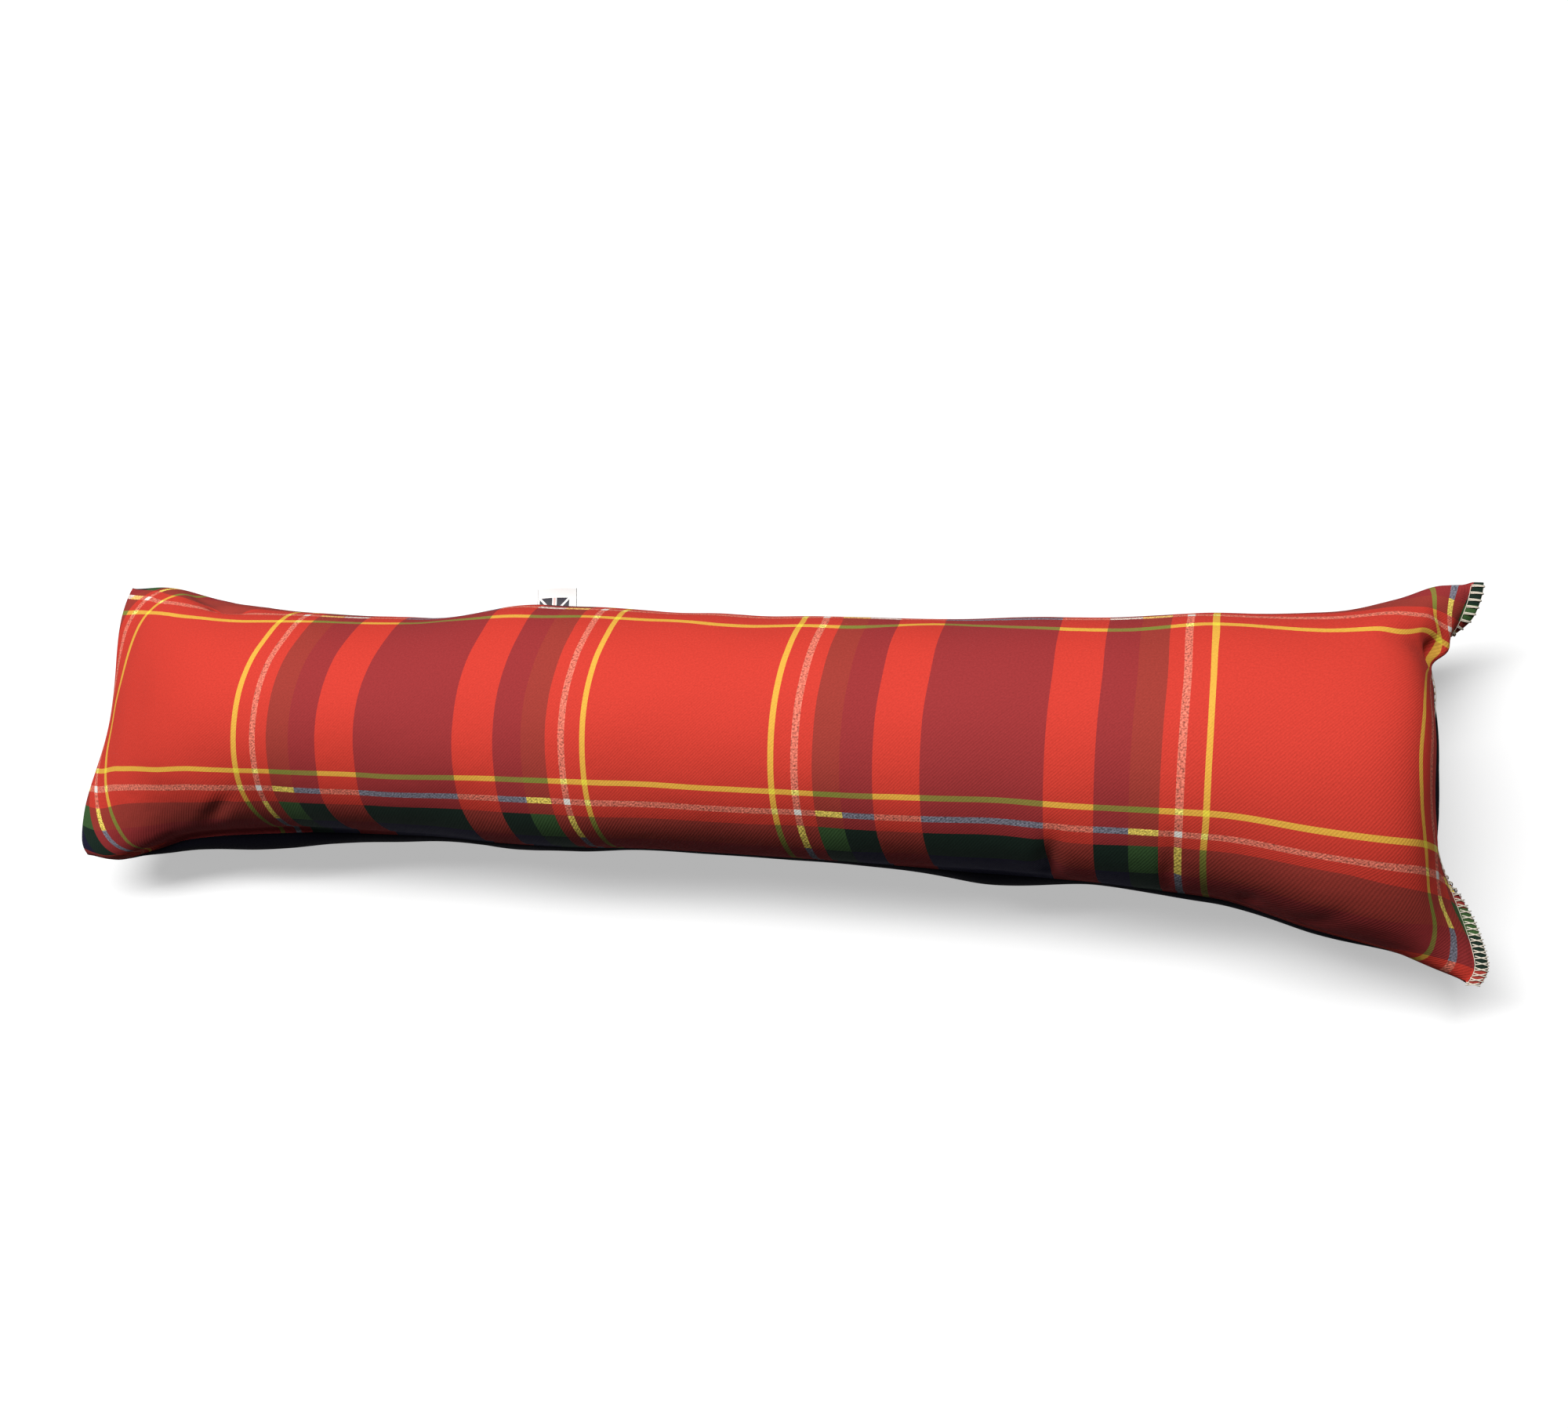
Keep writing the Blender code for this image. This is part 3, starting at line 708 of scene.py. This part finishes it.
BACK_THICKNESS = 0.0012
grown = back.copy()
grown[1:-1, 1:-1] = (back + back_out * 0.0001)[1:-1, 1:-1]
grown[..., 2] = np.maximum(grown[..., 2], 0.0)
inner = back - back_out * BACK_THICKNESS
back_uv = np.stack([grid_u, grid_q * PANEL_WIDTH / 2], axis=-1)
panel = solid_between("dark_back", inner, grown, back_uv, back_uv, [0] * ROWS_ALONG, [cloth_dark])
smoothed(panel, 1)
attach(panel, "root")
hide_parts("back_panel")

# Label ribbon
# A soft white woven ribbon, folded double and caught in the far side seam. A part of a plain
# country flag shows next to the seam.

LABEL_AT = 0.326
LABEL_WIDTH = 0.029
LABEL_STANDS_OUT = 0.0155
LABEL_RISE = 0.003
RIBBON_THICKNESS = 0.0002
FOLD_RADIUS = 0.00022
LABEL_STEPS = 18
FLAG_HALF_WIDTH = 0.0103
FLAG_TOP = 0.0102
FLAG_OFFSET = 0.0018

label_a = np.linspace(-0.5, 0.5, 13) * LABEL_WIDTH
label_s = np.linspace(-1, 1, 2 * LABEL_STEPS + 1)
out_share = np.abs(label_s)
out_share = np.sin((1 - out_share) * math.pi / 2)
layer = np.sign(label_s) * np.minimum(1.0, np.abs(label_s) * 9)
ribbon = np.zeros((len(label_s), len(label_a), 3))
for j, a in enumerate(label_a):
    root = [np.interp(LABEL_AT + a, cloth_u, front[:, -1, axis]) for axis in range(3)]
    ribbon[:, j, 0] = root[0]
    ribbon[:, j, 1] = root[1] + 0.0003 + out_share * LABEL_STANDS_OUT
    wave = 0.0006 * math.sin(a / LABEL_WIDTH * 4.0 + 0.6)
    ribbon[:, j, 2] = root[2] + (LABEL_RISE + wave) * out_share**2 + layer * FOLD_RADIUS
ribbon_out = outward(ribbon, 1)
ribbon_uv = np.stack(np.meshgrid(-label_s, label_a, indexing="ij")[::-1], axis=-1)
ribbon_uv[..., 1] = np.where(label_s > 0, out_share * LABEL_STANDS_OUT, 0.05)[:, None]

cloth_ribbon = bpy.data.materials.new("ribbon_look")
cloth_ribbon.use_nodes = True
tree = cloth_ribbon.node_tree
shader = tree.nodes["Principled BSDF"]
uv = tree.nodes.new("ShaderNodeUVMap")
uv.uv_map = "cloth"
place = tree.nodes.new("ShaderNodeSeparateXYZ")
tree.links.new(uv.outputs[0], place.inputs[0])
beside = math_node(tree, "ABSOLUTE", math_node(tree, "ADD", place.outputs[0], FLAG_OFFSET))
above = math_node(tree, "ADD", place.outputs[1], 0.0008)
field = math_node(
    tree, "MULTIPLY",
    math_node(tree, "LESS_THAN", beside, FLAG_HALF_WIDTH), math_node(tree, "LESS_THAN", above, FLAG_TOP),
)
off_diagonal = math_node(tree, "ABSOLUTE", math_node(tree, "SUBTRACT", beside, above))
diagonal = math_node(tree, "LESS_THAN", off_diagonal, 0.0009)
white_bar = math_node(tree, "LESS_THAN", beside, 0.0016)
red_bar = math_node(tree, "LESS_THAN", beside, 0.0007)
ribbon_white = (0.86, 0.85, 0.83)
flag = mix_node(tree, math_node(tree, "MAXIMUM", diagonal, white_bar), (0.012, 0.008, 0.020), ribbon_white)
flag = mix_node(tree, red_bar, flag, (0.80, 0.50, 0.46))
tree.links.new(mix_node(tree, field, ribbon_white, flag), shader.inputs["Base Color"])
weave = tree.nodes.new("ShaderNodeGroup")
weave.node_tree = twill
weave.inputs["Thread"].default_value = 0.00018
tree.links.new(uv.outputs[0], weave.inputs["Cloth"])
bump = tree.nodes.new("ShaderNodeBump")
bump.inputs["Strength"].default_value = 0.2
bump.inputs["Distance"].default_value = 0.00005
tree.links.new(weave.outputs["Height"], bump.inputs["Height"])
tree.links.new(bump.outputs[0], shader.inputs["Normal"])
shader.inputs["Roughness"].default_value = 0.5
shader.inputs["Sheen Weight"].default_value = 0.1

ribbon_under = ribbon - ribbon_out * RIBBON_THICKNESS
tab = solid_between(
    "label_ribbon", ribbon, ribbon_under, ribbon_uv, ribbon_uv, [0] * len(label_s), [cloth_ribbon]
)
smoothed(tab, 1)
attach(tab, "root")
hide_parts("label_tab")

# Overlock threads
# Cream looper and needle threads that bind the raw edges of both panels across the right end.
# Each stitch passes over the fin and back under it, and a needle line holds them at its root.

PITCH_FAR = 0.0040
PITCH_NEAR = 0.0031
THREAD_RADIUS = 0.00032
STITCH_HEIGHT = 0.0016

fine_q = np.linspace(-1, 1, 600)
root = np.stack([np.interp(fine_q, cloth_q, front[-1, :, axis]) for axis in range(3)], axis=1)
run = np.concatenate([[0.0], np.cumsum(np.linalg.norm(np.diff(root, axis=0), axis=1))])
stitch_run = [0.0008]
while stitch_run[-1] < run[-1] - 0.0008:
    share = stitch_run[-1] / run[-1]
    stitch_run.append(stitch_run[-1] + PITCH_NEAR + (PITCH_FAR - PITCH_NEAR) * share)
stitch_q = np.interp(stitch_run[:-1], run, fine_q)
stitch_droop = fin_turn(stitch_q)
stitch_at = np.stack([np.interp(stitch_q, fine_q, root[:, axis]) for axis in range(3)], axis=1)
stitch_away = np.stack([np.cos(stitch_droop), np.zeros(len(stitch_q)), -np.sin(stitch_droop)], axis=1)
path_mesh = bpy.data.meshes.new("overlock_path")
path_mesh.from_pydata(stitch_at.tolist(), [(i, i + 1) for i in range(len(stitch_q) - 1)], [])
along_edge = np.gradient(stitch_at, axis=0)
along_edge /= np.linalg.norm(along_edge, axis=1, keepdims=True)
stitch_up = np.cross(stitch_away, along_edge)
stitch_up /= np.linalg.norm(stitch_up, axis=1, keepdims=True)
for name, values in (("away", stitch_away), ("upward", stitch_up)):
    path_mesh.attributes.new(name, "FLOAT_VECTOR", "POINT").data.foreach_set("vector", values.ravel())
kind = path_mesh.attributes.new("kind", "INT", "POINT")
kind.data.foreach_set("value", (stitch_q > 0).astype(np.int32))
overlock = bpy.data.objects.new("overlock_threads", path_mesh)
bpy.context.scene.collection.objects.link(overlock)

thread_look = bpy.data.materials.new("cream_thread")
thread_look.use_nodes = True
tree = thread_look.node_tree
shader = tree.nodes["Principled BSDF"]
where = tree.nodes.new("ShaderNodeTexCoord")
fuzz = tree.nodes.new("ShaderNodeTexNoise")
fuzz.inputs["Scale"].default_value = 1500.0
tree.links.new(where.outputs["Object"], fuzz.inputs["Vector"])
cream = mix_node(tree, 0.0, (0.62, 0.55, 0.42), (0.84, 0.78, 0.68))
tree.links.new(fuzz.outputs["Fac"], tree.nodes[-1].inputs[0])
tree.links.new(cream, shader.inputs["Base Color"])
bump = tree.nodes.new("ShaderNodeBump")
bump.inputs["Strength"].default_value = 0.5
bump.inputs["Distance"].default_value = 0.00015
tree.links.new(fuzz.outputs["Fac"], bump.inputs["Height"])
tree.links.new(bump.outputs[0], shader.inputs["Normal"])
shader.inputs["Roughness"].default_value = 0.7
shader.inputs["Sheen Weight"].default_value = 0.15

stitches = bpy.data.node_groups.new("overlock_stitches", "GeometryNodeTree")
stitches.interface.new_socket("Geometry", in_out="INPUT", socket_type="NodeSocketGeometry")
for label in ("Fin Width", "Stitch Height", "Thread Radius", "Near Pitch", "Far Pitch"):
    stitches.interface.new_socket(label, in_out="INPUT", socket_type="NodeSocketFloat")
stitches.interface.new_socket("Thread", in_out="INPUT", socket_type="NodeSocketMaterial")
stitches.interface.new_socket("Geometry", in_out="OUTPUT", socket_type="NodeSocketGeometry")
made_in, made_out = stitches.nodes.new("NodeGroupInput"), stitches.nodes.new("NodeGroupOutput")


def geo_math(operation, first, second):
    node = stitches.nodes.new("ShaderNodeMath")
    node.operation = operation
    for socket, value in zip(node.inputs, (first, second)):
        if isinstance(value, (int, float)):
            socket.default_value = value
        else:
            stitches.links.new(value, socket)
    return node.outputs[0]


def geo_vector(x, y, z):
    node = stitches.nodes.new("ShaderNodeCombineXYZ")
    for socket, value in zip(node.inputs, (x, y, z)):
        if isinstance(value, (int, float)):
            socket.default_value = value
        else:
            stitches.links.new(value, socket)
    return node.outputs[0]


width = made_in.outputs["Fin Width"]
profile = stitches.nodes.new("GeometryNodeCurvePrimitiveCircle")
profile.inputs["Resolution"].default_value = 6
stitches.links.new(made_in.outputs["Thread Radius"], profile.inputs["Radius"])


def thread_loop(start, lean):
    """One oval of thread round the fin, from start along it, leaning by lean at the edge."""
    oval = stitches.nodes.new("GeometryNodeCurvePrimitiveCircle")
    oval.inputs["Resolution"].default_value = 12
    oval.inputs["Radius"].default_value = 1.0
    upright = stitches.nodes.new("GeometryNodeTransform")
    upright.inputs["Rotation"].default_value = (math.pi / 2, 0.0, 0.0)
    stitches.links.new(oval.outputs[0], upright.inputs[0])
    sized = stitches.nodes.new("GeometryNodeTransform")
    stitches.links.new(upright.outputs[0], sized.inputs[0])
    half = geo_math("MULTIPLY", width, 0.55)
    stitches.links.new(geo_vector(half, 1.0, made_in.outputs["Stitch Height"]), sized.inputs["Scale"])
    stitches.links.new(geo_vector(half, 0.0, 0.0), sized.inputs["Translation"])
    leaned = stitches.nodes.new("GeometryNodeTransform")
    stitches.links.new(sized.outputs[0], leaned.inputs[0])
    angle = geo_math("ARCTAN2", lean, width)
    stitches.links.new(geo_vector(0.0, 0.0, angle), leaned.inputs["Rotation"])
    stitches.links.new(geo_vector(0.0, start, 0.0), leaned.inputs["Translation"])
    return leaned.outputs[0]


def stitch(*loops):
    """The loops of one stitch, made solid, as one instance."""
    joined = stitches.nodes.new("GeometryNodeJoinGeometry")
    for loop in loops:
        stitches.links.new(loop, joined.inputs[0])
    solid = stitches.nodes.new("GeometryNodeCurveToMesh")
    solid.inputs["Fill Caps"].default_value = True
    stitches.links.new(joined.outputs[0], solid.inputs["Curve"])
    stitches.links.new(profile.outputs[0], solid.inputs["Profile Curve"])
    wrapped = stitches.nodes.new("GeometryNodeGeometryToInstance")
    stitches.links.new(solid.outputs[0], wrapped.inputs[0])
    return wrapped.outputs[0]


near_half = geo_math("MULTIPLY", made_in.outputs["Near Pitch"], 0.5)
near_back = geo_math("MULTIPLY", made_in.outputs["Near Pitch"], -0.5)
far_gap = geo_math("MULTIPLY", made_in.outputs["Thread Radius"], 2.4)
near_stitch = stitch(thread_loop(0.0, near_half), thread_loop(near_half, near_back))
far_stitch = stitch(thread_loop(0.0, 0.0), thread_loop(far_gap, geo_math("MULTIPLY", far_gap, -0.4)))
choices = stitches.nodes.new("GeometryNodeJoinGeometry")
stitches.links.new(far_stitch, choices.inputs[0])
stitches.links.new(near_stitch, choices.inputs[0])
directions = {}
for name in ("away", "upward"):
    read = stitches.nodes.new("GeometryNodeInputNamedAttribute")
    read.data_type = "FLOAT_VECTOR"
    read.inputs["Name"].default_value = name
    directions[name] = read.outputs["Attribute"]
read = stitches.nodes.new("GeometryNodeInputNamedAttribute")
read.data_type = "INT"
read.inputs["Name"].default_value = "kind"
facing = stitches.nodes.new("FunctionNodeAxesToRotation")
facing.primary_axis = "Z"
facing.secondary_axis = "X"
stitches.links.new(directions["upward"], facing.inputs["Primary Axis"])
stitches.links.new(directions["away"], facing.inputs["Secondary Axis"])
placed = stitches.nodes.new("GeometryNodeInstanceOnPoints")
placed.inputs["Pick Instance"].default_value = True
stitches.links.new(made_in.outputs["Geometry"], placed.inputs["Points"])
stitches.links.new(choices.outputs[0], placed.inputs["Instance"])
stitches.links.new(read.outputs["Attribute"], placed.inputs["Instance Index"])
stitches.links.new(facing.outputs[0], placed.inputs["Rotation"])

# The needle line at the fin's root and the loopers' chain along its edge
LINE_THICKNESS = 0.6
lines = []
for offset in (-0.0002, FIN_WIDTH + 0.0001):
    line = stitches.nodes.new("GeometryNodeMeshToCurve")
    stitches.links.new(made_in.outputs["Geometry"], line.inputs[0])
    shape = stitches.nodes.new("GeometryNodeResampleCurve")
    stitches.links.new(line.outputs[0], shape.inputs[0])
    shape.inputs["Count"].default_value = 4 * len(stitch_q) - 3
    outwards = stitches.nodes.new("ShaderNodeVectorMath")
    outwards.operation = "SCALE"
    stitches.links.new(directions["away"], outwards.inputs[0])
    outwards.inputs["Scale"].default_value = offset
    upwards = stitches.nodes.new("ShaderNodeVectorMath")
    upwards.operation = "SCALE"
    stitches.links.new(directions["upward"], upwards.inputs[0])
    upwards.inputs["Scale"].default_value = 0.0008 if offset < 0 else 0.0
    together = stitches.nodes.new("ShaderNodeVectorMath")
    stitches.links.new(outwards.outputs[0], together.inputs[0])
    stitches.links.new(upwards.outputs[0], together.inputs[1])
    moved = stitches.nodes.new("GeometryNodeSetPosition")
    stitches.links.new(shape.outputs[0], moved.inputs["Geometry"])
    stitches.links.new(together.outputs[0], moved.inputs["Offset"])
    round_profile = stitches.nodes.new("GeometryNodeCurvePrimitiveCircle")
    round_profile.inputs["Resolution"].default_value = 6
    radius = geo_math("MULTIPLY", made_in.outputs["Thread Radius"], LINE_THICKNESS)
    stitches.links.new(radius, round_profile.inputs["Radius"])
    solid = stitches.nodes.new("GeometryNodeCurveToMesh")
    solid.inputs["Fill Caps"].default_value = True
    stitches.links.new(moved.outputs[0], solid.inputs["Curve"])
    stitches.links.new(round_profile.outputs[0], solid.inputs["Profile Curve"])
    lines.append(solid.outputs[0])
everything = stitches.nodes.new("GeometryNodeJoinGeometry")
for geometry in (placed.outputs[0], *lines):
    stitches.links.new(geometry, everything.inputs[0])
real = stitches.nodes.new("GeometryNodeRealizeInstances")
stitches.links.new(everything.outputs[0], real.inputs[0])
finish = stitches.nodes.new("GeometryNodeSetMaterial")
stitches.links.new(real.outputs[0], finish.inputs["Geometry"])
stitches.links.new(made_in.outputs["Thread"], finish.inputs["Material"])
stitches.links.new(finish.outputs[0], made_out.inputs["Geometry"])

sewn = overlock.modifiers.new("overlock", "NODES")
sewn.node_group = stitches
settings = {
    "Fin Width": FIN_WIDTH, "Stitch Height": STITCH_HEIGHT, "Thread Radius": THREAD_RADIUS,
    "Near Pitch": PITCH_NEAR, "Far Pitch": PITCH_FAR, "Thread": thread_look,
}
for item in stitches.interface.items_tree:
    if item.in_out == "INPUT" and item.name in settings:
        sewn[item.identifier] = settings[item.name]
made = bpy.data.meshes.new_from_object(overlock.evaluated_get(bpy.context.evaluated_depsgraph_get()))
overlock.modifiers.clear()
overlock.data = made
bpy.data.meshes.remove(path_mesh)
made.name = "overlock_threads"
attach(overlock, "root")

# Floor, lights and camera
# A plain pale floor, one broad soft light from above, a little behind and to the left, and
# the camera where the photograph was taken from.

floor_mesh = bpy.data.meshes.new("floor")
floor_mesh.from_pydata([(-6, -6, 0), (6, -6, 0), (6, 6, 0), (-6, 6, 0)], [], [(0, 1, 2, 3)])
floor = bpy.data.objects.new("floor", floor_mesh)
bpy.context.scene.collection.objects.link(floor)
floor.location.z = -0.0002
paper = bpy.data.materials.new("pale_floor")
paper.use_nodes = True
tree = paper.node_tree
tree.nodes["Principled BSDF"].inputs["Roughness"].default_value = 0.9
path = tree.nodes.new("ShaderNodeLightPath")
pale = mix_node(tree, path.outputs["Is Diffuse Ray"], (0.56, 0.56, 0.56), (0.05, 0.05, 0.05))
tree.links.new(pale, tree.nodes["Principled BSDF"].inputs["Base Color"])
tree.nodes["Principled BSDF"].inputs["Emission Color"].default_value = (1.0, 1.0, 1.0, 1.0)
glow = math_node(tree, "MULTIPLY", path.outputs["Is Camera Ray"], 0.45)
tree.links.new(glow, tree.nodes["Principled BSDF"].inputs["Emission Strength"])
floor_mesh.materials.append(paper)

LAMP_AT = Vector((-0.27, 0.86, 3.04))
lamp_data = bpy.data.lights.new("key", "AREA")
lamp_data.shape = "RECTANGLE"
lamp_data.size = 3.2
lamp_data.size_y = 0.8
lamp_data.energy = 150.0
lamp = bpy.data.objects.new("key", lamp_data)
lamp.location = LAMP_AT
lamp.rotation_euler = (-LAMP_AT).to_track_quat("-Z", "Y").to_euler()
bpy.context.scene.collection.objects.link(lamp)
world = bpy.data.worlds.new("studio")
world.use_nodes = True
world.node_tree.nodes["Background"].inputs[0].default_value = (1.0, 1.0, 1.0, 1.0)
world.node_tree.nodes["Background"].inputs[1].default_value = 0.02
bpy.context.scene.world = world
bpy.context.scene.view_settings.view_transform = "Standard"

CAMERA_AT = Vector((0.34333, -0.19303, 1.05936)) + Vector(shift)
CAMERA_RIGHT = Vector((0.95612, 0.09847, -0.27593))
CAMERA_UP = Vector((-0.03727, 0.97505, 0.21883))
camera_data = bpy.data.cameras.new("camera")
camera_data.lens = 40.0
camera_data.sensor_width = 36.0
camera_data.sensor_fit = "HORIZONTAL"
camera_data.clip_start = 0.01
camera = bpy.data.objects.new("camera", camera_data)
bpy.context.scene.collection.objects.link(camera)
turn = Matrix((CAMERA_RIGHT, CAMERA_UP, CAMERA_RIGHT.cross(CAMERA_UP))).transposed()
camera.matrix_world = Matrix.Translation(CAMERA_AT) @ turn.to_4x4()
bpy.context.scene.camera = camera
